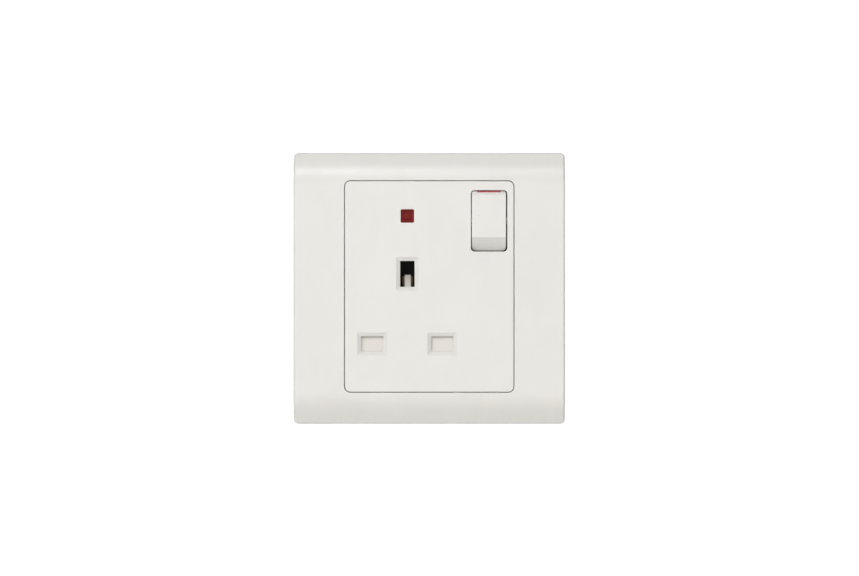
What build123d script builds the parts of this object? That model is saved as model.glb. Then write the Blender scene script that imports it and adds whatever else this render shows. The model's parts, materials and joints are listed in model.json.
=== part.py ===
"""Single-gang 13 A three-pin socket with a rocker switch, a red neon and a clip-on surround.

Millimetres. X is right, Y runs back into the wall, Z is up. The origin is on the wall plane,
in the middle of the plate, midway between the two fixing screws.
"""
from build123d import *
from math import cos, radians, sin, sqrt, tan
import os

os.makedirs("parts", exist_ok=True)

# ---------------------------------------------------------------- driving dimensions
PLATE = 86.0  # side of the square plate
CORNER_R = 1.4
FACE_Y = -9.0  # front of the plate
FLAT_HALF = 32.5  # the front is flat up to here, then curves back
ROLL_R, ROLL_TILT = 14.0, 29.0  # the curve, and the straight bevel that it runs out into
SHELL = 2.2  # wall of the surround
FIX_PITCH = 60.3  # between the two fixing screws

MOD_X = 26.75  # half width of the socket face
MOD_Z0, MOD_Z1 = -32.8, 34.0  # its lower and upper edges
MOD_R = 1.8
GAP = 0.2  # between socket face and surround
FACE_T = 2.05  # wall behind the socket face
SIDE_T = 2.1
FLANGE = 79.2
FLANGE_T = 3.0

PIN_X = -6.95  # middle of the three pins
EARTH_Z = 4.6
PIN_DROP = 22.23  # from the earth pin down to the other two
PIN_HALF = 11.115  # half the distance between line and neutral
LN_Z = EARTH_Z - PIN_DROP
N_X, L_X = PIN_X - PIN_HALF, PIN_X + PIN_HALF
EARTH_W, EARTH_H = 4.55, 8.2
LN_W, LN_H = 6.95, 4.75
BEVEL, BEVEL_D = 1.35, 0.8

SHUT_Y0, SHUT_Y1 = -6.8, -5.3  # the shutter's stem slides just behind the socket face
BLOCK_Y0 = -7.3  # front of its plate, which lies in a pocket of the face
SHUT_TRAVEL = 5.3
SHUT_BEAR = -5.15  # ends of the posts behind it
TONGUE_X, TONGUE_W = -6.85, 1.9
SPRING_Y = -5.2
DECK_Y = 0.15  # front rims of the contact chambers

ROCK_X, ROCK_Z, ROCK_Y = 18.88, 21.53, -5.8  # middle and pivot of the rocker
ROCK_W = 10.86
ROCK_AP_X, ROCK_AP_Z = 18.94, 21.39  # middle of its opening, which leaves more room at the right and below
ROCK_AP_W, ROCK_AP_H, ROCK_AP_R = 11.5, 19.38, 1.15
ROCK_END_R = 9.62  # the ends are arcs about the pivot
ROCK_FRONT_Y = -9.5
ROCK_CREASE_Z = 16.17
ROCK_LOW_Y = -6.5
TRUNNION_R = 1.2
HALF_SWING = 7.0  # the rocker swings this much either side of its middle
LIP = 0.8

NEON_X, NEON_Z, NEON_W = -6.97, 22.95, 4.27

BASE_X, BASE_Z0, BASE_Z1 = 25.6, -31.2, 32.4
BASE_T, FLOOR_Y, BACK_Y = 1.6, 15.0, 17.2
RIB = 1.1

STRIP_Y = 14.55  # middle of the brass strips along the floor
BRASS_T = 0.8
STRAP_T, STRAP_Z0, STRAP_Z1 = 0.7, -3.2, 0.2
TERM_Z = -25.5
TERM_N, TERM_E, TERM_L = N_X, PIN_X, 14.8
TERM_W, TERM_H = 7.6, 7.4
TERM_Y0, TERM_Y1 = 5.7, 14.15
WIRE_R, WIRE_Y = 2.1, 9.3

BLADE_Y, BLADE_Z = 7.2, ROCK_Z  # axis that the switch blade rocks on
BLADE_TILT = 12.0
RIDGE_R = 0.6
TIP_Z = 6.2  # from the blade's axis to its contact tip

SCREWS = [(-20.5, 26.3), (15.3, -9.5), (-21.0, -6.4)]  # the screws that hold the two mouldings
HEAD_Y = 15.5  # their heads bear here


# ---------------------------------------------------------------- helpers
def face_plane(y):
    """A plane seen from the front, at depth y: local x is X and local y is Z."""
    return Plane.XZ.offset(-y)


def block(x0, x1, y0, y1, z0, z1, mode=Mode.ADD):
    with Locations(((x0 + x1) / 2, (y0 + y1) / 2, (z0 + z1) / 2)):
        Box(x1 - x0, y1 - y0, z1 - z0, mode=mode)


def rod_y(x, z, y0, y1, r, mode=Mode.ADD):
    with Locations((x, (y0 + y1) / 2, z)):
        Cylinder(r, y1 - y0, rotation=(90, 0, 0), mode=mode)


def rod_x(y, z, x0, x1, r, mode=Mode.ADD):
    with Locations(((x0 + x1) / 2, y, z)):
        Cylinder(r, x1 - x0, rotation=(0, 90, 0), mode=mode)


def rod_z(x, y, z0, z1, r, mode=Mode.ADD):
    with Locations((x, y, (z0 + z1) / 2)):
        Cylinder(r, z1 - z0, mode=mode)


def save(part, name):
    part.part.label = name
    export_step(part.part, f"parts/{name}.step")


# ---------------------------------------------------------------- surround
# The clip-on frame: flat in front, curving back to a bevel at the top and bottom, hollow behind.
def roll_point(angle, inset=0.0):
    """(y, height) of the curve where it has turned by an angle, or of a surface inset behind it."""
    a = radians(angle)
    return FACE_Y + ROLL_R - (ROLL_R - inset) * cos(a), FLAT_HALF + (ROLL_R - inset) * sin(a)


def front_profile(inset, z_end):
    """Side view of the space behind the front surface, as a closed face on Plane.YZ."""
    with BuildSketch(Plane.YZ) as sk:
        with BuildLine():
            (ym, zm), (yt, zt) = roll_point(ROLL_TILT / 2, inset), roll_point(ROLL_TILT, inset)
            ye = yt + (z_end - zt) * tan(radians(ROLL_TILT))
            lf, hf = (FACE_Y + inset, -FLAT_HALF), (FACE_Y + inset, FLAT_HALF)
            Polyline((3, -z_end), (ye, -z_end), (yt, -zt))
            ThreePointArc((yt, -zt), (ym, -zm), lf)
            Line(lf, hf)
            ThreePointArc(hf, (ym, zm), (yt, zt))
            Polyline((yt, zt), (ye, z_end), (3, z_end), (3, -z_end))
        make_face()
    return sk.sketch


OPEN_X = MOD_X + GAP
OPEN_Z0, OPEN_Z1 = MOD_Z0 - GAP, MOD_Z1 + GAP
OPEN_MID = (OPEN_Z0 + OPEN_Z1) / 2
INNER = PLATE - 2 * SHELL
CLIP_X = 20.0

with BuildPart() as cavity:
    with BuildSketch(face_plane(0.5)):
        RectangleRounded(INNER, INNER, 1.0)
    extrude(amount=10)
    extrude(front_profile(SHELL, 42.0), amount=60, both=True, mode=Mode.INTERSECT)

with BuildPart() as surround:
    with BuildSketch(face_plane(0)):
        RectangleRounded(PLATE, PLATE, CORNER_R)
    extrude(amount=-FACE_Y)
    extrude(front_profile(0.0, 43.6), amount=60, both=True, mode=Mode.INTERSECT)
    rim = surround.edges().filter_by(
        lambda e: e.center().Y < -4 and (abs(e.center().X) > 42 or abs(e.center().Z) > 42)
    )
    fillet(rim, 0.75)
    add(cavity.part, mode=Mode.SUBTRACT)
    # collar behind the opening, then the opening itself
    with BuildSketch(face_plane(-5.6)):
        with Locations((0, OPEN_MID)):
            RectangleRounded(2 * OPEN_X + 2.2, OPEN_Z1 - OPEN_Z0 + 2.2, MOD_R + GAP + 1.1)
    extrude(amount=2.0)
    with BuildSketch(face_plane(0)):
        with Locations((0, OPEN_MID)):
            RectangleRounded(2 * OPEN_X, OPEN_Z1 - OPEN_Z0, MOD_R + GAP)
    extrude(amount=12, mode=Mode.SUBTRACT)
    lip_edges = surround.edges().filter_by(
        lambda e: e.center().Y < -8.6
        and abs(e.center().X) < OPEN_X + 0.05
        and OPEN_Z0 - 0.05 < e.center().Z < OPEN_Z1 + 0.05
    )
    fillet(lip_edges, 0.25)
    # four spring arms, each with a barb that catches behind the flange
    for side in (-1, 1):
        for x in (-CLIP_X, CLIP_X):
            z0, z1 = sorted((side * 36.5, side * 37.7))
            block(x - 3.5, x + 3.5, -7.0, -0.75, z0, z1)
            with BuildSketch(Plane.YZ.offset(x - 3.5)):
                with BuildLine():
                    Polyline(
                        (-1.55, side * 37.7),
                        (-1.55, side * 38.25),
                        (-0.75, side * 37.75),
                        (-0.75, side * 37.6),
                        (-1.55, side * 37.6),
                        close=True,
                    )
                make_face()
            extrude(amount=7.0)
    # stiffening ribs behind the two side panels, clear of the fixing screws
    for side in (-1, 1):
        for z in (-24.0, -12.0, 12.0, 24.0):
            x0, x1 = sorted((side * 28.0, side * 41.2))
            block(x0, x1, -7.2, -5.9, z - 0.5, z + 0.5)
    # notch under the lower edge, to lever the surround off
    block(-5.0, 5.0, -1.3, 0.1, -43.5, -40.5, mode=Mode.SUBTRACT)

save(surround, "surround")

# ---------------------------------------------------------------- front plate
# One moulding: the raised socket face and, behind the surround, the flange that is screwed to the wall box.
MOD_MID, MOD_H = (MOD_Z0 + MOD_Z1) / 2, MOD_Z1 - MOD_Z0
IN_X = MOD_X - SIDE_T
IN_Z0, IN_Z1 = MOD_Z0 + SIDE_T, MOD_Z1 - SIDE_T
FACE_IN = FACE_Y + FACE_T
HOLES = [(PIN_X, EARTH_Z, EARTH_W, EARTH_H), (N_X, LN_Z, LN_W, LN_H), (L_X, LN_Z, LN_W, LN_H)]

with BuildPart() as front_plate:
    with BuildSketch(face_plane(-FLANGE_T + 0.5)):
        with Locations((0, MOD_MID)):
            RectangleRounded(2 * MOD_X, MOD_H, MOD_R)
    extrude(amount=-FACE_Y - FLANGE_T + 0.5)
    fillet(front_plate.edges().filter_by(lambda e: e.center().Y < FACE_Y + 0.01), 0.3)
    with BuildSketch(face_plane(0)):
        RectangleRounded(FLANGE, FLANGE, 3.0)
    extrude(amount=FLANGE_T)
    with BuildSketch(face_plane(0)):
        with Locations((0, (IN_Z0 + IN_Z1) / 2)):
            RectangleRounded(2 * IN_X, IN_Z1 - IN_Z0, 0.9)
    extrude(amount=-FACE_IN, mode=Mode.SUBTRACT)
    # bosses for the screws from behind
    for x, z in SCREWS:
        rod_y(x, z, FACE_IN - 0.4, 0.0, 2.6)
        rod_y(x, z, -5.6, 0.1, 1.4, mode=Mode.SUBTRACT)
    # guides each side of the shutter's stem, and end guides for its crossbar
    for x0, x1 in ((PIN_X - 4.3, PIN_X - 3.2), (PIN_X + 3.2, PIN_X + 4.3)):
        block(x0, x1, FACE_IN - 0.4, -4.9, -11.8, -3.0)
    block(-24.9, -23.4, FACE_IN - 0.4, -4.9, -27.0, -13.0)
    block(9.5, 10.6, FACE_IN - 0.4, -4.9, -27.0, -13.0)
    # pocket that the shutter's plate slides in
    block(-23.35, 9.45, BLOCK_Y0 - 0.15, FACE_IN + 0.05, -27.0, -14.3, mode=Mode.SUBTRACT)
    # spigot that the shutter's spring stands on
    rod_z(PIN_X, SPRING_Y, IN_Z0 - 0.4, IN_Z0 + 1.2, 1.0)
    # rib that carries the rocker's inner trunnion
    block(11.5, 13.0, FACE_IN - 0.4, -3.4, 18.3, 24.4)
    # pin holes: a bevelled mouth, then a straight hole
    for x, z, w, h in HOLES:
        with BuildSketch(face_plane(FACE_Y - 0.05)):
            with Locations((x, z)):
                Rectangle(w + 2 * BEVEL, h + 2 * BEVEL)
        with BuildSketch(face_plane(FACE_Y + BEVEL_D)):
            with Locations((x, z)):
                Rectangle(w, h)
        loft(mode=Mode.SUBTRACT)
        block(x - w / 2, x + w / 2, FACE_Y, 0.5, z - h / 2, z + h / 2, mode=Mode.SUBTRACT)
    # neon window
    with BuildSketch(face_plane(0)):
        with Locations((NEON_X, NEON_Z)):
            RectangleRounded(NEON_W, NEON_W, 0.4)
    extrude(amount=12, mode=Mode.SUBTRACT)
    # rocker opening: a thin lip in front, relieved behind it so that the rocker's ends can swing
    with BuildSketch(face_plane(0)):
        with Locations((ROCK_AP_X, ROCK_AP_Z)):
            RectangleRounded(ROCK_AP_W, ROCK_AP_H, ROCK_AP_R)
    extrude(amount=12, mode=Mode.SUBTRACT)
    fillet(
        front_plate.edges().filter_by(
            lambda e: e.center().Y < FACE_Y + 0.01
            and abs(e.center().X - ROCK_AP_X) < ROCK_AP_W / 2 + 0.05
            and abs(e.center().Z - ROCK_AP_Z) < ROCK_AP_H / 2 + 0.05
        ),
        0.15,
    )
    block(13.05, 24.62, FACE_Y + LIP, FACE_IN + 0.1, 10.5, 31.65, mode=Mode.SUBTRACT)
    # bearings for the two trunnions, open to the rear
    for x0, x1 in ((11.3, 13.1), (IN_X - 0.2, 25.75)):
        rod_x(ROCK_Y, ROCK_Z, x0, x1, TRUNNION_R + 0.05, mode=Mode.SUBTRACT)
        block(
            x0, x1, ROCK_Y, 0.1,
            ROCK_Z - TRUNNION_R - 0.05, ROCK_Z + TRUNNION_R + 0.05, mode=Mode.SUBTRACT,
        )
    # slots for the fixing screws
    for x in (-FIX_PITCH / 2, FIX_PITCH / 2):
        with BuildSketch(face_plane(0.5)):
            with Locations((x, 0)):
                SlotOverall(6.4, 4.2)
        extrude(amount=5, mode=Mode.SUBTRACT)
    # stepped windows that the surround's barbs catch in
    for side in (-1, 1):
        for x in (-CLIP_X, CLIP_X):
            z0, z1 = sorted((side * 36.2, side * 37.95))
            block(x - 3.9, x + 3.9, -FLANGE_T - 0.5, 0.5, z0, z1, mode=Mode.SUBTRACT)
            z0, z1 = sorted((side * 37.9, side * 38.6))
            block(x - 3.9, x + 3.9, -1.6, 0.5, z0, z1, mode=Mode.SUBTRACT)
    # stiffening beads along the flange's edge
    for side in (-1, 1):
        x0, x1 = sorted((side * 37.0, side * 38.4))
        block(x0, x1, -4.2, -FLANGE_T + 0.3, -30.0, 30.0)
    # seat for the earthing strap in the back of the flange
    block(-34.6, -IN_X + 0.5, -0.85, 0.1, STRAP_Z0 - 0.3, STRAP_Z1 + 0.3, mode=Mode.SUBTRACT)
    rod_y(-FIX_PITCH / 2, 0, -0.85, 0.1, 4.4, mode=Mode.SUBTRACT)

save(front_plate, "front_plate")

# ---------------------------------------------------------------- rear base
# The back moulding: thin walls round a chamber for each contact, terminal and the switch.
CHAMBERS = [  # inner x0, x1, z0, z1 and the height of the front rim
    (N_X - 4.2, N_X + 4.2, -21.4, -13.8, DECK_Y),
    (L_X - 4.2, L_X + 4.2, -21.4, -13.8, DECK_Y),
    (PIN_X - 4.0, PIN_X + 4.0, -0.6, 9.8, DECK_Y),
]
TERMS = (TERM_N, TERM_E, TERM_L)

with BuildPart() as rear_base:
    with BuildSketch(face_plane(BACK_Y)):
        with Locations((0, (BASE_Z0 + BASE_Z1) / 2)):
            RectangleRounded(2 * BASE_X, BASE_Z1 - BASE_Z0, 2.2)
    extrude(amount=BACK_Y)
    fillet(rear_base.edges().filter_by(lambda e: e.center().Y > BACK_Y - 0.01), 0.9)
    with BuildSketch(face_plane(FLOOR_Y)):
        with Locations((0, (BASE_Z0 + BASE_Z1) / 2)):
            RectangleRounded(2 * (BASE_X - BASE_T), BASE_Z1 - BASE_Z0 - 2 * BASE_T, 1.0)
    extrude(amount=FLOOR_Y + 1, mode=Mode.SUBTRACT)
    # chamber walls
    for x0, x1, z0, z1, y in CHAMBERS:
        block(max(x0 - RIB, -24.6), x1 + RIB, y, FLOOR_Y + 0.3, z0 - RIB, z1 + RIB)
    for x in TERMS:
        half = TERM_W / 2 + 0.25
        block(max(x - half - RIB, -24.6), x + half + RIB, 3.6, FLOOR_Y + 0.3, -30.0, -21.9)
    # bosses that the assembly screws pass through
    for x, z in SCREWS:
        rod_y(x, z, 0.0, FLOOR_Y + 0.3, 2.8)
    # switch chamber: its inner wall, the stop for the blade and the post under the blade's bridge
    block(11.7, 12.9, 1.0, FLOOR_Y + 0.3, 11.0, 31.2)
    block(12.0, 24.6, 6.0, FLOOR_Y + 0.3, 10.2, 11.3)
    block(16.6, 20.4, 8.25, FLOOR_Y + 0.3, BLADE_Z - 7.95, BLADE_Z - 6.45)
    block(17.9, 19.8, 8.05, FLOOR_Y + 0.3, BLADE_Z - 1.15, BLADE_Z + 1.15)
    # posts that the shutter's plate slides against
    for x0, x1 in ((N_X - 5.2, N_X - 4.2), (N_X + 4.2, N_X + 5.6), (L_X - 5.6, L_X - 4.2), (L_X + 4.2, L_X + 5.2)):
        block(x0, x1, SHUT_BEAR, 1.0, -21.8, -19.2)
    # cradles for the neon
    for x in (-11.2, -4.0):
        block(x - 0.6, x + 0.6, -1.2, FLOOR_Y + 0.3, NEON_Z - 3.4, NEON_Z + 3.4)
    # hollow out the chambers
    for x0, x1, z0, z1, y in CHAMBERS:
        block(x0, x1, -1.0, FLOOR_Y, z0, z1, mode=Mode.SUBTRACT)
    for x in TERMS:
        half = TERM_W / 2 + 0.25
        block(x - half, x + half, 3.0, FLOOR_Y, -29.6, -21.6, mode=Mode.SUBTRACT)
        # conductor entry in the lower wall, and the way to the screw through the back
        block(x - 3.2, x + 3.2, WIRE_Y - 3.2, WIRE_Y + 3.2, -32.0, -29.0, mode=Mode.SUBTRACT)
        rod_y(x, TERM_Z, FLOOR_Y - 0.5, BACK_Y + 0.5, 3.2, mode=Mode.SUBTRACT)
    # ways through the walls for the strips that lie on the floor
    y0, y1 = STRIP_Y - 0.65, FLOOR_Y
    block(N_X - 2.9, N_X + 2.9, y0, y1, -24.0, -15.0, mode=Mode.SUBTRACT)
    block(N_X + 0.7, N_X + 3.6, y0, y1, -16.0, -12.0, mode=Mode.SUBTRACT)
    block(PIN_X - 2.9, PIN_X + 2.9, y0, y1, -24.0, 2.0, mode=Mode.SUBTRACT)
    block(L_X - 2.9, L_X + 2.9, y0, y1, -16.0, -12.0, mode=Mode.SUBTRACT)
    block(10.5, 13.5, y0, y1, 19.4, 23.3, mode=Mode.SUBTRACT)
    block(17.0, 24.0, y0, y1, -29.2, -21.8, mode=Mode.SUBTRACT)
    block(20.6, 24.0, y0, y1, -29.2, 30.8, mode=Mode.SUBTRACT)
    block(-14.6, PIN_X + 1.0, 13.0, y1, STRAP_Z0 - 0.4, STRAP_Z1 + 0.1, mode=Mode.SUBTRACT)
    for x in (-11.2, -4.0):
        rod_x(-1.2, NEON_Z, x - 1.0, x + 1.0, 2.08, mode=Mode.SUBTRACT)
    # counterbored holes for the assembly screws
    for x, z in SCREWS:
        rod_y(x, z, -0.5, BACK_Y + 0.5, 1.6, mode=Mode.SUBTRACT)
        rod_y(x, z, HEAD_Y, BACK_Y + 0.5, 3.1, mode=Mode.SUBTRACT)
    # posts that close the trunnion bearings from behind
    block(11.75, 12.85, -4.55, 1.5, ROCK_Z - 1.0, ROCK_Z + 1.0)
    block(24.75, BASE_X, -4.55, 0.6, ROCK_Z - 1.0, ROCK_Z + 1.0)
    # notch in the rim for the earthing strap
    block(-26.0, -23.5, -0.1, 0.1, STRAP_Z0 - 0.4, STRAP_Z1 + 0.4, mode=Mode.SUBTRACT)

save(rear_base, "rear_base")

# ---------------------------------------------------------------- shutter
# One sliding piece: a ramped tongue behind the earth hole and a ramped block behind each of the other two.
with BuildPart() as shutter:
    # the plate: its upper edge is sloped, so that the line and neutral pins finish the stroke
    with BuildSketch(Plane.YZ.offset(-23.2)):
        with BuildLine():
            Polyline(
                (BLOCK_Y0, -20.6), (BLOCK_Y0 + 0.12, -15.5), (SHUT_Y1 - 0.2, -14.7), (SHUT_Y1, -14.7),
                (SHUT_Y1, -20.6), close=True,
            )
        make_face()
    extrude(amount=32.5)
    block(TONGUE_X - 3.0, TONGUE_X + 3.0, SHUT_Y0 + 0.3, SHUT_Y1, -16.4, -2.2)
    with BuildSketch(Plane.YZ.offset(TONGUE_X - TONGUE_W / 2)):
        with BuildLine():
            Polyline(
                (SHUT_Y0, -3.6), (SHUT_Y0, 0.4), (-3.2, 4.34), (0.0, 4.34), (0.0, -3.6), close=True,
            )
        make_face()
    extrude(amount=TONGUE_W)
    # web behind the tongue
    with BuildSketch(Plane.YZ.offset(TONGUE_X - 0.6)):
        with BuildLine():
            Polyline((SHUT_Y1 - 0.2, -12.0), (SHUT_Y1 - 0.2, -3.4), (-0.6, -3.4), close=True)
        make_face()
    extrude(amount=1.2)
    # spigot for the spring, and the boss that carries it
    rod_z(PIN_X, SPRING_Y, -22.6, -20.5, 1.0)
    block(PIN_X - 2.2, PIN_X + 2.2, SHUT_Y0 + 0.2, SPRING_Y + 1.8, -20.6, -19.2)
    fillet(
        shutter.edges().filter_by(Axis.Y).filter_by(lambda e: e.center().Z < -20.5 and abs(e.center().X - PIN_X) > 10),
        0.6,
    )

save(shutter, "shutter")


def coil(line_radius, wire_r, turns, length, origin, direction):
    """A compression spring of one round wire, its two ends just short of their seats."""
    with BuildPart() as spring:
        with BuildLine() as path:
            Helix(
                pitch=(length - 2 * wire_r) / turns,
                height=length - 2 * wire_r,
                radius=line_radius,
                center=origin,
                direction=direction,
            )
        wire = path.line
        with BuildSketch(Plane(origin=wire @ 0, z_dir=wire % 0)):
            Circle(wire_r)
        sweep()
    return spring


SPRING_R, SPRING_WIRE = 1.5, 0.2
SPRING_Z0, SPRING_Z1 = IN_Z0, -20.6
shutter_spring = coil(
    SPRING_R, SPRING_WIRE, 8, SPRING_Z1 - SPRING_Z0 - 0.04,
    (PIN_X, SPRING_Y, SPRING_Z0 + 0.02 + SPRING_WIRE), (0, 0, 1),
)
save(shutter_spring, "shutter_spring")

# ---------------------------------------------------------------- rocker
PIVOT = Vector(0, ROCK_Y, ROCK_Z)


def end_z(y):
    """Height above the pivot of the rocker's curved end at depth y."""
    return sqrt(ROCK_END_R**2 - (y - ROCK_Y) ** 2)


AXIS_DIR = (0, cos(radians(HALF_SWING)), sin(radians(HALF_SWING)))  # the plunger's axis with the switch on


def plunger_plane(distance):
    """A plane square to the plunger's axis, at this distance behind the pivot."""
    return Plane(
        origin=(ROCK_X, ROCK_Y + distance * AXIS_DIR[1], ROCK_Z + distance * AXIS_DIR[2]),
        x_dir=(1, 0, 0), z_dir=AXIS_DIR,
    )


with BuildPart() as rocker:
    with BuildSketch(Plane.YZ.offset(ROCK_X - ROCK_W / 2)):
        with BuildLine():
            top_front = (ROCK_FRONT_Y, ROCK_Z + 8.2)
            top = (ROCK_FRONT_Y + 0.75, ROCK_Z + end_z(ROCK_FRONT_Y + 0.75))
            crease = (ROCK_FRONT_Y, ROCK_CREASE_Z)
            low = (ROCK_LOW_Y, ROCK_Z - end_z(ROCK_LOW_Y))
            low_back = (-4.4, ROCK_Z - end_z(-4.4))
            top_back = (-6.0, ROCK_Z + end_z(-6.0))
            Polyline(top, top_front, crease, low)
            ThreePointArc(low, (-5.5, ROCK_Z - end_z(-5.5)), low_back)
            Line(low_back, top_back)
            ThreePointArc(top_back, (-7.8, ROCK_Z + end_z(-7.8)), top)
        make_face()
    extrude(amount=ROCK_W)
    # rounded corners as seen from the front
    with BuildSketch(face_plane(0)):
        with Locations((ROCK_X, ROCK_Z)):
            RectangleRounded(ROCK_W, 2 * ROCK_END_R + 0.02, ROCK_AP_R + 0.15)
    extrude(amount=12, mode=Mode.INTERSECT)
    fillet(
        rocker.edges().filter_by(
            lambda e: e.center().Y < ROCK_LOW_Y + 0.1
            and not (
                abs(e.center().Z - ROCK_CREASE_Z) < 0.05 and abs(e.center().X - ROCK_X) < 1
            )
            and e.bounding_box().max.Y < ROCK_LOW_Y + 0.2
        ),
        0.25,
    )
    with BuildSketch(Plane.YZ.offset(ROCK_X - ROCK_W / 2 + 1.25)):
        with BuildLine():
            Polyline(
                (-8.2, ROCK_Z + 7.9), (-8.2, 16.4), (-6.1, 13.35), (-3.0, 13.35),
                (-3.0, ROCK_Z + 8.3), close=True,
            )
        make_face()
    extrude(amount=ROCK_W - 2.5, mode=Mode.SUBTRACT)
    # discs that carry the trunnions
    for x0, x1 in ((ROCK_X - ROCK_W / 2, ROCK_X - ROCK_W / 2 + 1.25), (ROCK_X + ROCK_W / 2 - 1.25, ROCK_X + ROCK_W / 2)):
        rod_x(ROCK_Y, ROCK_Z, x0, x1, 2.1)
    rod_x(ROCK_Y, ROCK_Z, 12.05, ROCK_X - ROCK_W / 2 + 0.5, TRUNNION_R)
    rod_x(ROCK_Y, ROCK_Z, ROCK_X + ROCK_W / 2 - 0.5, 25.6, TRUNNION_R)
    # hollow boss for the plunger and its spring
    with BuildSketch(plunger_plane(-2.9)):
        Circle(2.5)
    extrude(amount=9.9)
    for z0, z1 in ((14.6, 20.2), (22.6, 29.4)):
        block(ROCK_X - 0.5, ROCK_X + 0.5, -8.3, -5.9, z0, z1)
    with BuildSketch(plunger_plane(-1.2)):
        Circle(1.55)
    extrude(amount=12, mode=Mode.SUBTRACT)

save(rocker, "rocker")

# The plunger's round nose presses on the blade. The spring behind it sits in the rocker's boss.
NOSE = BLADE_Y - (RIDGE_R + 0.05) - BRASS_T - ROCK_Y - 0.05  # 0.05 short of the level blade
with BuildPart() as plunger:
    with BuildSketch(plunger_plane(4.2)):
        Circle(1.5)
    extrude(amount=NOSE - 4.2)
    fillet(plunger.faces().sort_by(Axis.Y)[-1].edges(), 1.35)
    with BuildSketch(plunger_plane(4.0)):
        Circle(0.75)
    extrude(amount=1.6, mode=Mode.ADD)
    with BuildSketch(plunger_plane(2.8)):
        Circle(0.75)
    extrude(amount=1.6, mode=Mode.ADD)

save(plunger, "plunger")

SPRING2_LEN = 4.2 + 1.2
p0 = plunger_plane(-1.2 + 0.02 + 0.16)
plunger_spring = coil(
    1.15, 0.16, 7, SPRING2_LEN - 0.04, tuple(p0.origin), AXIS_DIR,
)
save(plunger_spring, "plunger_spring")

# ---------------------------------------------------------------- switch contacts
BLADE_REAR = RIDGE_R + 0.05  # from the axis to the blade's rear face
TILT = radians(BLADE_TILT)
blade_plane = Plane(origin=(ROCK_X, BLADE_Y, BLADE_Z), x_dir=(1, 0, 0), z_dir=(0, cos(TILT), -sin(TILT)))
# local z of blade_plane points back and a little down: the blade's rear side with the switch on


def on_blade(distance):
    return blade_plane.offset(distance)


# which way local y points along the blade
UP = 1 if blade_plane.y_dir.Z > 0 else -1

with BuildPart() as moving_contact:
    with BuildSketch(on_blade(-BLADE_REAR - BRASS_T)):
        RectangleRounded(4.6, 15.0, 1.0)
        with Locations((0, UP * TIP_Z)):
            Circle(0.9, mode=Mode.SUBTRACT)
    extrude(amount=BRASS_T)
    # side tabs that keep the blade on its ridge
    for x in (-2.3, 1.7):
        with BuildSketch(on_blade(-BLADE_REAR - BRASS_T)):
            with Locations((x + 0.3, 0)):
                Rectangle(0.6, 2.4)
        extrude(amount=-0.9)

save(moving_contact, "moving_contact")

with BuildPart() as moving_contact_tip:
    with BuildSketch(on_blade(-BLADE_REAR - BRASS_T - 0.25)):
        with Locations((0, UP * TIP_Z)):
            Circle(1.3)
    extrude(amount=0.25)
    with BuildSketch(on_blade(-BLADE_REAR - BRASS_T)):
        with Locations((0, UP * TIP_Z)):
            Circle(0.9)
    extrude(amount=BRASS_T)
    with BuildSketch(on_blade(-BLADE_REAR)):
        with Locations((0, UP * TIP_Z)):
            Circle(1.6)
    extrude(amount=0.7)

save(moving_contact_tip, "moving_contact_tip")

# The fixed tip is a dome whose surface stands just clear of the moving tip with the switch on.
DOME_H, DOME_W, TOUCH = 0.5, 1.6, 0.03
DOME_R = (DOME_W**2 + DOME_H**2) / (2 * DOME_H)
tip_face = on_blade(-BLADE_REAR + 0.7)
tip_mid = tip_face.from_local_coords(Vector(0, UP * TIP_Z, 0))
dome_c = tip_mid + tip_face.z_dir * (DOME_R + TOUCH)
PAD_Y = dome_c.Y - DOME_R + DOME_H
with BuildPart() as fixed_contact_tip:
    with Locations((ROCK_X, dome_c.Y, dome_c.Z)):
        Sphere(DOME_R)
    block(ROCK_X - 5, ROCK_X + 5, PAD_Y, dome_c.Y + 5, dome_c.Z - 5, dome_c.Z + 5, mode=Mode.SUBTRACT)
    rod_y(ROCK_X, dome_c.Z, PAD_Y - 0.05, PAD_Y + BRASS_T, 0.9)
    rod_y(ROCK_X, dome_c.Z, PAD_Y + BRASS_T, PAD_Y + BRASS_T + 0.3, 1.3)

save(fixed_contact_tip, "fixed_contact_tip")


# ---------------------------------------------------------------- brass strips
def bent_strip(plane, points, radius, width, t=BRASS_T):
    """A strip of sheet bent along a line: its edge view on a plane, then its width."""
    with BuildSketch(plane) as sk:
        with BuildLine() as ln:
            FilletPolyline(*points, radius=radius)
        trace(ln.edges(), t)
    extrude(sk.sketch, amount=width)


# Line feed: from the supply terminal, up the right-hand side, to the fixed contact.
Y0, Y1 = STRIP_Y - BRASS_T / 2, STRIP_Y + BRASS_T / 2
with BuildPart() as line_feed:
    with BuildSketch(face_plane(Y1)):
        with Locations((TERM_L, TERM_Z)):
            Rectangle(TERM_W - 1.0, TERM_H)
        with Locations(((TERM_L + 23.6) / 2, TERM_Z)):
            Rectangle(23.6 - TERM_L, 5.0)
        with Locations((22.2, (TERM_Z - 2.5 + 28.6) / 2)):
            Rectangle(2.8, 28.6 - TERM_Z + 2.5)
        with Locations((TERM_L, TERM_Z)):
            Circle(2.95, mode=Mode.SUBTRACT)
    extrude(amount=BRASS_T)
    bent_strip(
        Plane.XY.offset(dome_c.Z - 2.1),
        [(20.9, STRIP_Y), (23.2, STRIP_Y), (23.2, PAD_Y + BRASS_T / 2), (ROCK_X - 2.6, PAD_Y + BRASS_T / 2)],
        0.7, 4.2,
    )
    rod_y(ROCK_X, dome_c.Z, PAD_Y - 1, PAD_Y + 2, 0.9, mode=Mode.SUBTRACT)

save(line_feed, "line_feed_strip")


# Line contact: clip, floor strip, and the bridge with the ridge that the blade rocks on.
MOUTH, PINCH, BACKG = 2.85, 2.05, 2.6  # centre-line offsets of the leaves


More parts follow.
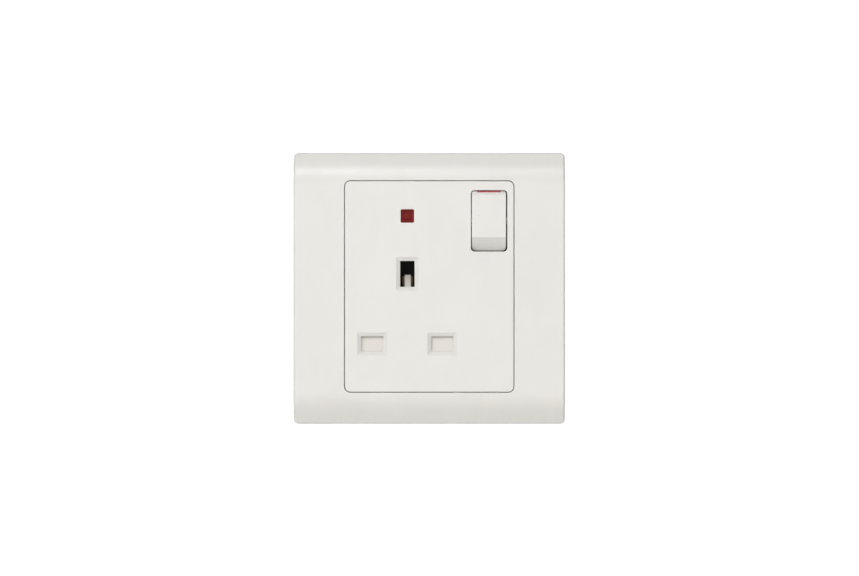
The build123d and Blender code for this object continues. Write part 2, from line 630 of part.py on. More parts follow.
def clip_path(c, y_front, y_pinch, y_back):
    """Centre line of both leaves and the bend between them, as (y, offset) points."""
    return [
        (y_front, c + MOUTH), (y_pinch, c + PINCH), (y_back - 4.0, c + BACKG), (y_back, c + BACKG),
        (y_back, c - BACKG), (y_back - 4.0, c - BACKG), (y_pinch, c - PINCH), (y_front, c - MOUTH),
    ]


with BuildPart() as line_contact:
    bent_strip(Plane.YZ.offset(L_X - 3.0), clip_path(LN_Z, 3.2, 5.6, STRIP_Y), 0.9, 6.0)
    with BuildSketch(face_plane(Y1)):
        with Locations((L_X, (-16.0 + BLADE_Z + 1.5) / 2)):
            Rectangle(5.0, BLADE_Z + 1.5 + 16.0)
        with Locations(((L_X + 14.0) / 2, BLADE_Z)):
            Rectangle(14.0 - L_X, 3.0)
    extrude(amount=BRASS_T)
    bent_strip(
        Plane.XY.offset(BLADE_Z - 1.5),
        [(L_X + 1, STRIP_Y), (14.8, STRIP_Y), (14.8, BLADE_Y + 0.4), (ROCK_X + 2.9, BLADE_Y + 0.4)],
        0.7, 3.0,
    )
    rod_x(BLADE_Y, BLADE_Z, ROCK_X - 2.3, ROCK_X + 2.3, RIDGE_R)

save(line_contact, "line_contact")

with BuildPart() as neutral_contact:
    bent_strip(Plane.YZ.offset(N_X - 3.0), clip_path(LN_Z, 3.2, 5.6, STRIP_Y), 0.9, 6.0)
    with BuildSketch(face_plane(Y1)):
        with Locations((N_X, (-16.0 + TERM_Z - 3.7) / 2)):
            Rectangle(5.0, -16.0 - TERM_Z + 3.7)
        with Locations((N_X, TERM_Z)):
            Rectangle(TERM_W - 1.0, TERM_H)
        with Locations((N_X + 2.15, -11.0)):
            Rectangle(2.0, 9.0)
        with Locations((TERM_N, TERM_Z)):
            Circle(2.95, mode=Mode.SUBTRACT)
    extrude(amount=BRASS_T)
    rod_y(N_X + 2.15, -7.8, Y0 - 1, Y1 + 1, 0.45, mode=Mode.SUBTRACT)

save(neutral_contact, "neutral_contact")

with BuildPart() as earth_contact:
    # the leaves stand each side of the pin, over its lower part
    with BuildSketch(Plane.XY.offset(0.35)) as leaves:
        with BuildLine() as ln:
            pts = clip_path(PIN_X, 3.2, 5.6, STRIP_Y)
            FilletPolyline(*[(x, y) for y, x in pts], radius=0.9)
        trace(ln.edges(), BRASS_T)
    extrude(amount=3.55)
    with BuildSketch(face_plane(Y1)):
        with Locations((PIN_X, (3.9 + TERM_Z - 3.7) / 2)):
            Rectangle(5.0, 3.9 - TERM_Z + 3.7)
        with Locations((PIN_X, TERM_Z)):
            Rectangle(TERM_W - 1.0, TERM_H)
        with Locations((TERM_E, TERM_Z)):
            Circle(2.95, mode=Mode.SUBTRACT)
        with Locations((PIN_X, -6.0)):
            Circle(1.0, mode=Mode.SUBTRACT)
    extrude(amount=BRASS_T)

save(earth_contact, "earth_contact")


def terminal(x):
    """A brass pillar with the conductor's hole from below and the screw's hole from behind."""
    with BuildPart() as t:
        block(x - TERM_W / 2, x + TERM_W / 2, TERM_Y0, TERM_Y1, TERM_Z - TERM_H / 2, TERM_Z + TERM_H / 2)
        chamfer(t.edges().filter_by(Axis.Z), 0.5)
        rod_y(x, TERM_Z, TERM_Y1 - 0.1, Y1 - 0.1, 2.9)
        rod_z(x, WIRE_Y, TERM_Z - TERM_H, TERM_Z + TERM_H, WIRE_R, mode=Mode.SUBTRACT)
        rod_y(x, TERM_Z, WIRE_Y, BACK_Y, 2.0, mode=Mode.SUBTRACT)
    return t


for x, name in ((TERM_N, "neutral_terminal"), (TERM_E, "earth_terminal"), (TERM_L, "line_terminal")):
    save(terminal(x), name)

# Earthing strap: from the left-hand fixing screw, through the wall of the face, to the earth strip.
with BuildPart() as earth_strap:
    bent_strip(
        Plane.XY.offset(STRAP_Z0),
        [(-30.0, -0.4), (-13.2, -0.4), (-13.2, Y0 - STRAP_T / 2 - 0.02), (PIN_X - 0.2, Y0 - STRAP_T / 2 - 0.02)],
        0.7, STRAP_Z1 - STRAP_Z0, STRAP_T,
    )
    rod_y(-FIX_PITCH / 2, 0, -0.75, -0.05, 4.0)
    rod_y(-FIX_PITCH / 2, 0, -2, 1, 2.2, mode=Mode.SUBTRACT)

save(earth_strap, "earth_strap")

# ---------------------------------------------------------------- neon
with BuildPart() as neon_lens:
    with BuildSketch(face_plane(-5.6)):
        with Locations((NEON_X, NEON_Z)):
            RectangleRounded(NEON_W - 0.08, NEON_W - 0.08, 0.36)
    extrude(amount=-FACE_Y - 5.6 - 0.05)
    chamfer(neon_lens.edges().filter_by(lambda e: e.center().Y < FACE_Y + 0.06), 0.15)
    with BuildSketch(face_plane(FACE_IN + 1.05)):
        with Locations((NEON_X, NEON_Z)):
            RectangleRounded(6.6, 6.6, 0.6)
    extrude(amount=1.0)
    with BuildSketch(face_plane(-3.7)):
        with Locations((NEON_X, NEON_Z)):
            RectangleRounded(4.6, 4.6, 0.5)
    extrude(amount=2.4)
    # recess inside a rim, with a small sloped step low down in it
    z0, z1 = NEON_Z - NEON_W / 2 + 0.55, NEON_Z + NEON_W / 2 - 0.55
    with BuildSketch(Plane.YZ.offset(NEON_X - NEON_W / 2 + 0.55)):
        with BuildLine():
            Polyline(
                (FACE_Y - 0.5, z0), (FACE_Y + 0.4, z0), (FACE_Y + 0.4, z0 + 0.35), (FACE_Y + 0.75, z0 + 0.7),
                (FACE_Y + 0.75, z1), (FACE_Y - 0.5, z1), close=True,
            )
        make_face()
    extrude(amount=NEON_W - 1.1, mode=Mode.SUBTRACT)

save(neon_lens, "neon_lens")

LAMP_Y, LAMP_X0, LAMP_X1 = -1.2, -12.4, -2.2
with BuildPart() as neon_lamp:
    rod_x(LAMP_Y, NEON_Z, LAMP_X0, LAMP_X1, 2.0)
    fillet(neon_lamp.faces().sort_by(Axis.X)[-1].edges(), 1.7)
    fillet(neon_lamp.faces().sort_by(Axis.X)[0].edges(), 0.6)
    # the gas space, and the two holes of the pinch that the lead wires pass
    rod_x(LAMP_Y, NEON_Z, LAMP_X0 + 1.6, LAMP_X1 - 1.2, 1.5, mode=Mode.SUBTRACT)
    for z in (-0.7, 0.7):
        rod_x(LAMP_Y, NEON_Z + z, LAMP_X0 - 1, LAMP_X0 + 2, 0.22, mode=Mode.SUBTRACT)

save(neon_lamp, "neon_lamp")

with BuildPart() as neon_electrodes:
    for z in (-0.7, 0.7):
        rod_x(LAMP_Y, NEON_Z + z, LAMP_X0 - 0.6, LAMP_X0 + 2.4, 0.2)
        rod_x(LAMP_Y, NEON_Z + z, LAMP_X0 + 2.2, LAMP_X0 + 8.0, 0.4)

save(neon_electrodes, "neon_electrodes")


def lead(points, radius, r=0.45):
    """A sleeved lead: a round tube of straight runs and tangent bends."""
    with BuildPart() as t:
        with BuildLine() as ln:
            FilletPolyline(*points, radius=radius)
        with BuildSketch(Plane(origin=ln.line @ 0, z_dir=ln.line % 0)):
            Circle(r)
        sweep()
    return t


RES_X, RES_Y, RES_Z0, RES_Z1 = N_X + 2.15, 9.6, 6.0, 13.0
with BuildPart() as neon_resistor:
    rod_z(RES_X, RES_Y, RES_Z0, RES_Z1, 1.2)
    fillet(neon_resistor.edges().filter_by(GeomType.CIRCLE), 0.5)
    rod_z(RES_X, RES_Y, RES_Z0 - 1.6, RES_Z1 + 1.6, 0.3)

save(neon_resistor, "neon_resistor")

lead_upper = lead(
    [(LAMP_X0 - 0.62, LAMP_Y, NEON_Z + 0.7), (RES_X, LAMP_Y, NEON_Z + 0.7), (RES_X, RES_Y, NEON_Z + 0.7), (RES_X, RES_Y, RES_Z1 + 1.62)],
    1.6,
)
save(lead_upper, "neon_lead_upper")
lead_neutral = lead(
    [(RES_X, RES_Y, RES_Z0 - 1.62), (RES_X, RES_Y, -7.8), (RES_X, Y0 - 0.02, -7.8)], 1.5,
)
save(lead_neutral, "neon_lead_neutral")
lead_line = lead(
    [(LAMP_X0 - 0.62, LAMP_Y, NEON_Z - 0.7), (-14.6, LAMP_Y, NEON_Z - 0.7), (-14.6, 5.0, NEON_Z - 4.6), (-14.6, 8.5, 14.0), (L_X, 8.5, 14.0), (L_X, Y0 - 0.02, 14.0)],
    1.0,
)
save(lead_line, "neon_lead_line")

# ---------------------------------------------------------------- screws
with BuildPart() as terminal_screws:
    for x in TERMS:
        rod_y(x, TERM_Z, WIRE_Y + WIRE_R + 0.25, 15.0, 1.95)
        rod_y(x, TERM_Z, 15.0, 17.1, 2.8)
        block(x - 3, x + 3, 16.0, 17.5, TERM_Z - 0.4, TERM_Z + 0.4, mode=Mode.SUBTRACT)

save(terminal_screws, "terminal_screws")

with BuildPart() as assembly_screws:
    for x, z in SCREWS:
        rod_y(x, z, -5.4, HEAD_Y + 0.1, 1.36)
        rod_y(x, z, HEAD_Y + 0.02, 17.0, 2.7)
        block(x - 1.5, x + 1.5, 16.1, 17.2, z - 0.35, z + 0.35, mode=Mode.SUBTRACT)
        block(x - 0.35, x + 0.35, 16.1, 17.2, z - 1.5, z + 1.5, mode=Mode.SUBTRACT)

save(assembly_screws, "assembly_screws")

with BuildPart() as fixing_screws:
    for x in (-FIX_PITCH / 2, FIX_PITCH / 2):
        rod_y(x, 0, -FLANGE_T, 0.05, 1.5)
        rod_y(x, 0, 0.0, 22.0, 1.75)
        rod_y(x, 0, -5.1, -FLANGE_T, 3.1)
        block(x - 1.8, x + 1.8, -5.3, -3.9, -0.4, 0.4, mode=Mode.SUBTRACT)
        block(x - 0.4, x + 0.4, -5.3, -3.9, -1.8, 1.8, mode=Mode.SUBTRACT)
    chamfer(fixing_screws.edges().filter_by(lambda e: e.center().Y > 21.9), 0.5)
    fillet(
        fixing_screws.edges().filter_by(GeomType.CIRCLE).filter_by(
            lambda e: e.center().Y < -5.0 and e.radius > 3.0
        ),
        0.9,
    )

save(fixing_screws, "fixing_screws")
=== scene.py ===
import json
import math

import bmesh
import bpy
from mathutils import Matrix, Vector


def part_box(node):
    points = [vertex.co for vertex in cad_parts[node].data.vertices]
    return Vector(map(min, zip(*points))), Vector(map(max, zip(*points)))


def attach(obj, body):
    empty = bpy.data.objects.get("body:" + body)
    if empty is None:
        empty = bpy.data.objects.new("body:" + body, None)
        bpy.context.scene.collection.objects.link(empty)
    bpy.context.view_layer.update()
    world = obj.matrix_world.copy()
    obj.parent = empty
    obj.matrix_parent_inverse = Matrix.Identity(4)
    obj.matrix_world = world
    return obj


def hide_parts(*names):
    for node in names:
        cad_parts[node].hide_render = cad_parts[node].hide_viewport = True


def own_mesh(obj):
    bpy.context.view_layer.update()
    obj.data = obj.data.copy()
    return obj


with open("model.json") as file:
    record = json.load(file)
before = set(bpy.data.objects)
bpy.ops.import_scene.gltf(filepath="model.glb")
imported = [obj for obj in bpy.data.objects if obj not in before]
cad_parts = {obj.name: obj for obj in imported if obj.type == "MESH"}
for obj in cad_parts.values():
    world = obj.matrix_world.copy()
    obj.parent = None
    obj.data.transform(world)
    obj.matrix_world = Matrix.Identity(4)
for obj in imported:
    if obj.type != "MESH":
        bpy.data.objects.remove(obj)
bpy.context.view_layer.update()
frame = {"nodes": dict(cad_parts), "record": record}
MM = 0.001

# ---------------------------------------------------------------- camera
PIXELS_PER_MM = 3.1496  # of the 859 x 576 picture, at the plate
DISTANCE = 1.2
camera = bpy.data.objects.new("camera", bpy.data.cameras.new("camera"))
bpy.context.scene.collection.objects.link(camera)
camera.location = (0.00006, -DISTANCE - 0.006, 0.00013)
camera.rotation_euler = (math.radians(90), 0, 0)
camera.data.sensor_width = 36.0
camera.data.lens = 36.0 * DISTANCE * 1000 / (859 / PIXELS_PER_MM)
camera.data.clip_start = 0.01
camera.data.clip_end = 50.0
bpy.context.scene.camera = camera
bpy.context.scene.view_settings.view_transform = "Standard"

# ---------------------------------------------------------------- light and stage
world = bpy.data.worlds.new("studio")
bpy.context.scene.world = world
world.use_nodes = True
world.node_tree.nodes["Background"].inputs["Color"].default_value = (1.0, 0.96, 0.91, 1)
world.node_tree.nodes["Background"].inputs["Strength"].default_value = 0.105


def area(name, place, target, size, power, colour=(1, 1, 1)):
    light = bpy.data.lights.new(name, "AREA")
    light.shape = "SQUARE"
    light.size = size
    light.energy = power
    light.color = colour
    o = bpy.data.objects.new(name, light)
    bpy.context.scene.collection.objects.link(o)
    o.location = place
    o.rotation_euler = (Vector(target) - Vector(place)).to_track_quat("-Z", "Y").to_euler()
    o.visible_camera = False
    return o


# a broad soft light from the front, two smaller ones above, which draw the bright
# band along the surround's upper curve, and a warmer one at each side
area("front", (-0.2, -2.4, -0.22), (0, 0, 0), 1.7, 18.2, (1.0, 0.995, 0.99))
area("top_low", (-0.15, -1.38, 0.93), (0, 0, 0), 0.5, 1.9, (0.985, 0.99, 1.0))
area("top_high", (-0.22, -1.20, 1.12), (0, 0, 0), 0.34, 7.0, (0.985, 0.99, 1.0))
area("left", (-1.4, -1.6, 0.0), (0, 0, 0), 0.9, 10.3, (1.0, 0.95, 0.88))
area("right", (1.4, -1.6, 0.1), (0, 0, 0), 0.9, 5.0, (1.0, 0.94, 0.87))


def plane_mesh(name, corners, material):
    mesh = bpy.data.meshes.new(name)
    mesh.from_pydata(corners, [], [(0, 1, 2, 3)])
    o = bpy.data.objects.new(name, mesh)
    bpy.context.scene.collection.objects.link(o)
    o.data.materials.append(material)
    return o


def nodes_of(name):
    m = bpy.data.materials.new(name)
    m.use_nodes = True
    tree = m.node_tree
    shader = tree.nodes["Principled BSDF"]
    return m, tree, shader


backdrop_mat = bpy.data.materials.new("backdrop")
backdrop_mat.use_nodes = True
_t = backdrop_mat.node_tree
_t.nodes.remove(_t.nodes["Principled BSDF"])
_e = _t.nodes.new("ShaderNodeEmission")
_e.inputs["Color"].default_value = (1, 1, 1, 1)
_e.inputs["Strength"].default_value = 1.05
_t.links.new(_e.outputs[0], _t.nodes["Material Output"].inputs["Surface"])
plane_mesh("backdrop", [(-4, 2.6, -4), (4, 2.6, -4), (4, 2.6, 4), (-4, 2.6, 4)], backdrop_mat)

floor_mat, _t, _s = nodes_of("floor")
_s.inputs["Base Color"].default_value = (0.86, 0.86, 0.85, 1)
_s.inputs["Roughness"].default_value = 0.8
plane_mesh("floor", [(-4, -4, -1.6), (4, -4, -1.6), (4, 2.6, -1.6), (-4, 2.6, -1.6)], floor_mat)


# ---------------------------------------------------------------- materials
def texture(tree, kind, scale, stretch=(1, 1, 1), **values):
    """A 3-D texture on the piece's own coordinates, with its scale in features per metre."""
    place = tree.nodes.new("ShaderNodeTexCoord")
    map_ = tree.nodes.new("ShaderNodeMapping")
    map_.inputs["Scale"].default_value = stretch
    tex = tree.nodes.new(kind)
    tex.inputs["Scale"].default_value = scale
    for key, value in values.items():
        tex.inputs[key].default_value = value
    tree.links.new(place.outputs["Object"], map_.inputs["Vector"])
    tree.links.new(map_.outputs["Vector"], tex.inputs["Vector"])
    return tex


def ranged(tree, source, low, high, from_low=0.3, from_high=0.7):
    r = tree.nodes.new("ShaderNodeMapRange")
    r.inputs["From Min"].default_value = from_low
    r.inputs["From Max"].default_value = from_high
    r.inputs["To Min"].default_value = low
    r.inputs["To Max"].default_value = high
    tree.links.new(source, r.inputs["Value"])
    return r.outputs["Result"]


def mixed(tree, factor, a, b):
    """A mix of two colours; each is a colour or another node's output."""
    m = tree.nodes.new("ShaderNodeMix")
    m.data_type = "RGBA"
    tree.links.new(factor, m.inputs["Factor"])
    for socket, value in ((m.inputs["A"], a), (m.inputs["B"], b)):
        if isinstance(value, tuple):
            socket.default_value = (*value, 1)
        else:
            tree.links.new(value, socket)
    return m.outputs["Result"]


def bumped(tree, shader, heights, distance, strength=1.0, soft=0.0):
    """Chains bump nodes, each a height output and its depth in metres, over softened edges."""
    last = None
    if soft:
        last = tree.nodes.new("ShaderNodeBevel")
        last.samples = 4
        last.inputs["Radius"].default_value = soft
    for height, depth in heights:
        b = tree.nodes.new("ShaderNodeBump")
        b.inputs["Distance"].default_value = depth * distance
        b.inputs["Strength"].default_value = strength
        tree.links.new(height, b.inputs["Height"])
        if last is not None:
            tree.links.new(last.outputs["Normal"], b.inputs["Normal"])
        last = b
    tree.links.new(last.outputs["Normal"], shader.inputs["Normal"])


def plastic(name, colour, rough, shade=0.03, grain=2600, depth=2.2e-6, coat=0.0, scatter=0.0, soft=0.00012):
    """Moulded plastic: faint flow mottling, a fine skin texture and uneven gloss."""
    m, tree, s = nodes_of(name)
    flow = texture(tree, "ShaderNodeTexNoise", 90, (1, 1, 0.55), Detail=3, Distortion=0.6)
    darker = tuple(c * (1 - shade) for c in colour)
    col = mixed(tree, ranged(tree, flow.outputs["Fac"], 0, 1), colour, darker)
    speck = texture(tree, "ShaderNodeTexVoronoi", 900)
    col = mixed(tree, ranged(tree, speck.outputs["Distance"], 0.25, 0.0, 0.0, 0.07), col, tuple(c * 0.93 for c in colour))
    tree.links.new(col, s.inputs["Base Color"])
    gloss = texture(tree, "ShaderNodeTexNoise", 420, Detail=4)
    tree.links.new(ranged(tree, gloss.outputs["Fac"], rough - 0.05, rough + 0.07), s.inputs["Roughness"])
    skin = texture(tree, "ShaderNodeTexNoise", grain, Detail=2)
    sink = texture(tree, "ShaderNodeTexNoise", 45, Detail=1)
    bumped(tree, s, [(sink.outputs["Fac"], 8.0), (skin.outputs["Fac"], 1.0)], depth, soft=soft)
    s.inputs["IOR"].default_value = 1.5
    if coat:
        s.inputs["Coat Weight"].default_value = coat
        s.inputs["Coat Roughness"].default_value = 0.12
    if scatter:
        s.inputs["Subsurface Weight"].default_value = scatter
        s.inputs["Subsurface Radius"].default_value = (0.0011, 0.0009, 0.0007)
        s.inputs["Subsurface Scale"].default_value = 1.0
    return m


def metal(name, colour, rough, stretch=(1, 1, 14), tarnish=0.16, grain=1500, depth=3e-6):
    """Rolled or turned metal: fine lines one way, and patches of tarnish."""
    m, tree, s = nodes_of(name)
    s.inputs["Metallic"].default_value = 1.0
    patch = texture(tree, "ShaderNodeTexNoise", 190, Detail=5, Distortion=0.8)
    col = mixed(tree, ranged(tree, patch.outputs["Fac"], 0, 1, 0.35, 0.75), colour, tuple(c * (1 - tarnish) * k for c, k in zip(colour, (1, 0.94, 0.86))))
    tree.links.new(col, s.inputs["Base Color"])
    lines = texture(tree, "ShaderNodeTexNoise", grain, stretch, Detail=3)
    tree.links.new(ranged(tree, lines.outputs["Fac"], rough - 0.08, rough + 0.12), s.inputs["Roughness"])
    bumped(tree, s, [(lines.outputs["Fac"], 1.0)], depth, soft=0.00012)
    return m


FACE = (0.86, 0.858, 0.835)
surround_mat = plastic("surround_plastic", (0.855, 0.851, 0.825), 0.33, scatter=0.06)
face_mat = plastic("face_plastic", FACE, 0.33, scatter=0.06)
shutter_mat = plastic("shutter_plastic", (0.79, 0.765, 0.715), 0.46, grain=3400, depth=3.5e-6)
plunger_mat = plastic("plunger_plastic", (0.83, 0.80, 0.70), 0.4, scatter=0.12)
sleeve_mat = plastic("sleeve", (0.78, 0.75, 0.66), 0.5, grain=2200, depth=6e-6)
resistor_mat = plastic("resistor_body", (0.56, 0.42, 0.27), 0.35, coat=0.4)
# the strip brass is much darker than the block brass: painted shade for the contact strips deep inside the
# earth hole, with random tarnish patches over it
brass_strip = metal("brass_strip", (0.42, 0.29, 0.14), 0.36, tarnish=0.3)
brass_block = metal("brass_block", (0.77, 0.58, 0.28), 0.34, (14, 1, 1))
brass_screw = metal("brass_screw", (0.80, 0.63, 0.33), 0.28, (1, 14, 1))
plated = metal("plated_screw", (0.70, 0.70, 0.69), 0.27, (1, 8, 1), tarnish=0.1)
steel = metal("spring_steel", (0.52, 0.52, 0.53), 0.25, (1, 1, 1), tarnish=0.2)
silver = metal("contact_silver", (0.86, 0.85, 0.82), 0.3, (1, 1, 1), tarnish=0.2)

# dark phenolic moulding, with the flecks of its filler
base_mat, _t, _s = nodes_of("base_phenolic")
_fleck = texture(_t, "ShaderNodeTexVoronoi", 1500, (1, 1, 0.5))
_cloud = texture(_t, "ShaderNodeTexNoise", 130, Detail=4, Distortion=1.2)
_c = mixed(_t, ranged(_t, _cloud.outputs["Fac"], 0, 1), (0.008, 0.006, 0.005), (0.015, 0.010, 0.007))
_c = mixed(_t, ranged(_t, _fleck.outputs["Distance"], 0.8, 0.0, 0.02, 0.2), _c, (0.045, 0.029, 0.019))
_t.links.new(_c, _s.inputs["Base Color"])
_t.links.new(ranged(_t, _cloud.outputs["Fac"], 0.34, 0.52), _s.inputs["Roughness"])
_skin = texture(_t, "ShaderNodeTexNoise", 1900, Detail=3)
bumped(_t, _s, [(_skin.outputs["Fac"], 1.0), (_fleck.outputs["Distance"], 0.6)], 4e-6, soft=0.0002)
_s.inputs["Specular IOR Level"].default_value = 0.35

# tinted lens: deep red, lighter where its moulded edges gather light
lens_mat, _t, _s = nodes_of("lens_red")
_cloud = texture(_t, "ShaderNodeTexNoise", 700, Detail=2)
_t.links.new(mixed(_t, ranged(_t, _cloud.outputs["Fac"], 0, 1), (0.215, 0.005, 0.006), (0.265, 0.007, 0.008)), _s.inputs["Base Color"])
_skin = texture(_t, "ShaderNodeTexNoise", 2400, Detail=2)
_t.links.new(ranged(_t, _skin.outputs["Fac"], 0.16, 0.26), _s.inputs["Roughness"])
bumped(_t, _s, [(_skin.outputs["Fac"], 1.0)], 1.5e-6, soft=0.00008)
_s.inputs["IOR"].default_value = 1.49
_s.inputs["Specular IOR Level"].default_value = 0.03
_s.inputs["Transmission Weight"].default_value = 0.2

# clear glass envelope
glass_mat, _t, _s = nodes_of("lamp_glass")
_skin = texture(_t, "ShaderNodeTexNoise", 800, Detail=2)
_t.links.new(ranged(_t, _skin.outputs["Fac"], 0.01, 0.06), _s.inputs["Roughness"])
bumped(_t, _s, [(_skin.outputs["Fac"], 1.0)], 4e-6)
_s.inputs["Base Color"].default_value = (0.95, 0.97, 0.97, 1)
_s.inputs["IOR"].default_value = 1.5
_s.inputs["Transmission Weight"].default_value = 1.0

# rocker: the face plastic, with a red stripe inlaid in its upper end
rocker_mat, _t, _s = nodes_of("rocker_plastic")
_flow = texture(_t, "ShaderNodeTexNoise", 90, (1, 1, 0.55), Detail=3, Distortion=0.6)
_c = mixed(_t, ranged(_t, _flow.outputs["Fac"], 0, 1), FACE, tuple(c * 0.97 for c in FACE))
_place = _t.nodes.new("ShaderNodeTexCoord")
_split = _t.nodes.new("ShaderNodeSeparateXYZ")
_t.links.new(_place.outputs["Object"], _split.inputs["Vector"])


def compare(tree, source, operation, value):
    n = tree.nodes.new("ShaderNodeMath")
    n.operation = operation
    n.inputs[1].default_value = value
    tree.links.new(source, n.inputs[0])
    return n.outputs[0]


def both(tree, a, b):
    n = tree.nodes.new("ShaderNodeMath")
    n.operation = "MULTIPLY"
    tree.links.new(a, n.inputs[0])
    tree.links.new(b, n.inputs[1])
    return n.outputs[0]


_mask = both(_t, compare(_t, _split.outputs["X"], "GREATER_THAN", 0.01518), compare(_t, _split.outputs["X"], "LESS_THAN", 0.02264))
_mask = both(_t, _mask, compare(_t, _split.outputs["Z"], "GREATER_THAN", 0.03042))
_grain = texture(_t, "ShaderNodeTexNoise", 1400, Detail=2)
_red = mixed(_t, ranged(_t, _grain.outputs["Fac"], 0, 1), (0.70, 0.145, 0.15), (0.64, 0.12, 0.125))
_t.links.new(mixed(_t, _mask, _c, _red), _s.inputs["Base Color"])
_gloss = texture(_t, "ShaderNodeTexNoise", 420, Detail=4)
_t.links.new(ranged(_t, _gloss.outputs["Fac"], 0.26, 0.38), _s.inputs["Roughness"])
_skin = texture(_t, "ShaderNodeTexNoise", 2600, Detail=2)
bumped(_t, _s, [(_skin.outputs["Fac"], 1.0)], 2.2e-6, soft=0.00012)
_s.inputs["Subsurface Weight"].default_value = 0.06
_s.inputs["Subsurface Radius"].default_value = (0.0011, 0.0009, 0.0007)
_s.inputs["Subsurface Scale"].default_value = 1.0

FINISH = {
    "surround_plastic": surround_mat, "face_plastic": face_mat, "rocker_plastic": rocker_mat,
    "shutter_plastic": shutter_mat, "plunger_plastic": plunger_mat, "base_phenolic": base_mat,
    "lens_red": lens_mat, "lamp_glass": glass_mat, "brass_strip": brass_strip, "brass_block": brass_block,
    "brass_screw": brass_screw, "plated_screw": plated, "spring_steel": steel, "contact_silver": silver,
    "resistor_body": resistor_mat, "sleeve": sleeve_mat,
}
slot_of = {s["node"]: s["material_slot"] for s in frame["record"]["subparts"]}
for node, obj in frame["nodes"].items():
    obj.data.materials.clear()
    obj.data.materials.append(FINISH[slot_of[node]])


# ---------------------------------------------------------------- added pieces
def tube_mesh(name, centres, radius, material, body, sides=12, closed_ends=True):
    """A round wire along the given centres, as one closed mesh."""
    bm = bmesh.new()
    rings = []
    normal = None
    for i, c in enumerate(centres):
        a = centres[max(i - 1, 0)]
        b = centres[min(i + 1, len(centres) - 1)]
        t = (b - a).normalized()
        if normal is None:
            normal = t.orthogonal().normalized()
        normal = (normal - t * normal.dot(t)).normalized()
        side = t.cross(normal)
        rings.append([
            bm.verts.new(c + radius * (math.cos(2 * math.pi * k / sides) * normal + math.sin(2 * math.pi * k / sides) * side))
            for k in range(sides)
        ])
    for a, b in zip(rings, rings[1:]):
        for k in range(sides):
            bm.faces.new((a[k], a[(k + 1) % sides], b[(k + 1) % sides], b[k]))
    if closed_ends:
        bm.faces.new(list(reversed(rings[0])))
        bm.faces.new(rings[-1])
    bmesh.ops.recalc_face_normals(bm, faces=bm.faces)
    mesh = bpy.data.meshes.new(name)
    bm.to_mesh(mesh)
    bm.free()
    for p in mesh.polygons:
        p.use_smooth = len(p.vertices) == 4
    o = bpy.data.objects.new(name, mesh)
    bpy.context.scene.collection.objects.link(o)
    mesh.materials.append(material)
    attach(o, body)
    return o


def spring_centres(low, axis, length, radius, wire, turns, dead=1.5, steps=28):
    """Centres of a compression spring with closed ends, standing on low and rising along axis."""
    axis = Vector(axis).normalized()
    u = axis.orthogonal().normalized()
    v = axis.cross(u)
    rise_dead = 2 * wire * 1.02
    free = length - 2 * wire - 2 * dead * rise_dead
    total = turns + 2 * dead
    out = []
    count = int(total * steps)
    for i in range(count + 1):
        t = total * i / count
        if t < dead:
            h = rise_dead * t
        elif t < dead + turns:
            h = rise_dead * dead + free * (t - dead) / turns
        else:
            h = rise_dead * dead + free + rise_dead * (t - dead - turns)
        a = 2 * math.pi * t
        out.append(Vector(low) + axis * (wire + h) + radius * (math.cos(a) * u + math.sin(a) * v))
    return out


low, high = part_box("shutter_spring")
spring_x = (low.x + high.x) / 2
spring_y = (low.y + high.y) / 2
coil = tube_mesh(
    "shutter_coil",
    spring_centres((spring_x, spring_y, low.z), (0, 0, 1), high.z - low.z, 1.5 * MM, 0.2 * MM, 6.5),
    0.2 * MM, steel, "housing",
)
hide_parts("shutter_spring")
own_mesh(coil)

SWING = math.radians(7)
PIVOT = Vector((18.88, -5.8, 21.53)) * MM
AXIS = Vector((0, math.cos(SWING), math.sin(SWING)))
start = PIVOT + AXIS * (-1.18 * MM)
coil2 = tube_mesh(
    "plunger_coil", spring_centres(start, AXIS, 5.34 * MM, 1.15 * MM, 0.16 * MM, 5.5, dead=1.0), 0.16 * MM, steel, "rocker",
)
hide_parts("plunger_spring")
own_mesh(coil2)

# fixing screws: a right-hand thread is cut into a copy of the plain shafts
THREAD_PITCH, THREAD_ROOT, THREAD_CREST, THREAD_WIDE = 0.6 * MM, 1.43 * MM, 1.75 * MM, 0.5 * MM


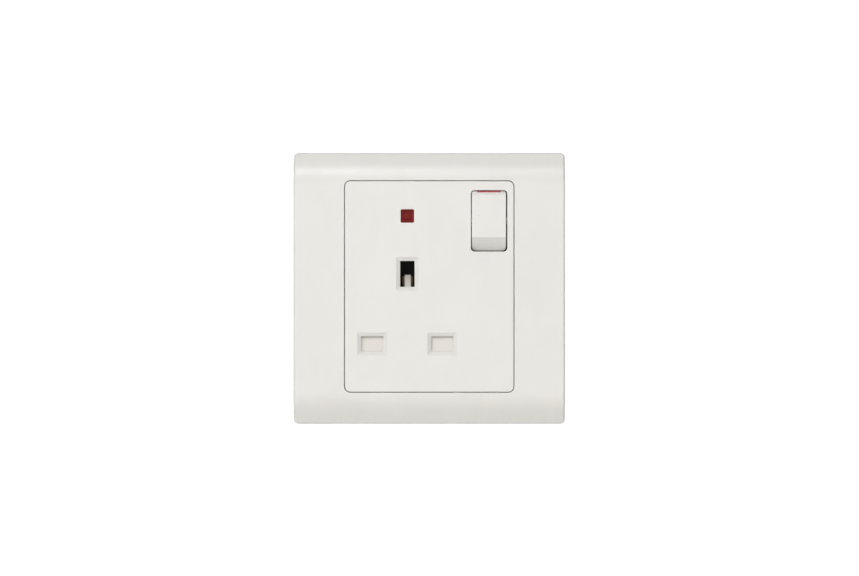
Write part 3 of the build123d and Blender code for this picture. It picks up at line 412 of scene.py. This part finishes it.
def thread_groove(name, x, start, end, steps=28):
    """A closed helical bar round the shaft at x; its inner edge is the root of the thread."""
    bm = bmesh.new()
    rings = []
    outline = ((THREAD_ROOT, 0.0), (THREAD_CREST + 0.01 * MM, -THREAD_WIDE / 2), (2.1 * MM, -THREAD_WIDE / 2),
               (2.1 * MM, THREAD_WIDE / 2), (THREAD_CREST + 0.01 * MM, THREAD_WIDE / 2))
    for i in range(int((end - start) / THREAD_PITCH * steps) + 1):
        a = 2 * math.pi * (i + 0.37) / steps
        y = start + THREAD_PITCH * i / steps
        fade = max(0.0, 1 - i / steps) * 0.28 * MM
        rings.append([bm.verts.new((x + (r + fade) * math.sin(a), y + h, (r + fade) * math.cos(a))) for r, h in outline])
    n = len(outline)
    for a, b in zip(rings, rings[1:]):
        for k in range(n):
            bm.faces.new((a[k], a[(k + 1) % n], b[(k + 1) % n], b[k]))
    bm.faces.new(list(reversed(rings[0])))
    bm.faces.new(rings[-1])
    bmesh.ops.triangulate(bm, faces=bm.faces)
    bmesh.ops.recalc_face_normals(bm, faces=bm.faces)
    mesh = bpy.data.meshes.new(name)
    bm.to_mesh(mesh)
    bm.free()
    o = bpy.data.objects.new(name, mesh)
    bpy.context.scene.collection.objects.link(o)
    return o


plain = frame["nodes"]["fixing_screws"]
welded = bmesh.new()
welded.from_mesh(plain.data)
bmesh.ops.remove_doubles(welded, verts=welded.verts, dist=1e-7)
copy = bpy.data.meshes.new("screw_copy")
welded.to_mesh(copy)
welded.free()
threaded = bpy.data.objects.new("threaded_screws", copy)
bpy.context.scene.collection.objects.link(threaded)
threaded.matrix_world = plain.matrix_world.copy()
grooves = [thread_groove(f"groove_{i}", x * MM, 1.4 * MM, 22.6 * MM) for i, x in enumerate((-30.15, 30.15))]
for g in grooves:
    cut = threaded.modifiers.new(g.name, "BOOLEAN")
    cut.operation = "DIFFERENCE"
    cut.solver = "EXACT"
    cut.object = g
cut_mesh = bpy.data.meshes.new_from_object(threaded.evaluated_get(bpy.context.evaluated_depsgraph_get()))
threaded.modifiers.clear()
threaded.data = cut_mesh
for g in grooves:
    bpy.data.objects.remove(g)
for p in cut_mesh.polygons:
    p.use_smooth = True
cut_mesh.set_sharp_from_angle(angle=math.radians(32))
cut_mesh.materials.clear()
cut_mesh.materials.append(plated)
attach(threaded, "housing")
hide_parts("fixing_screws")
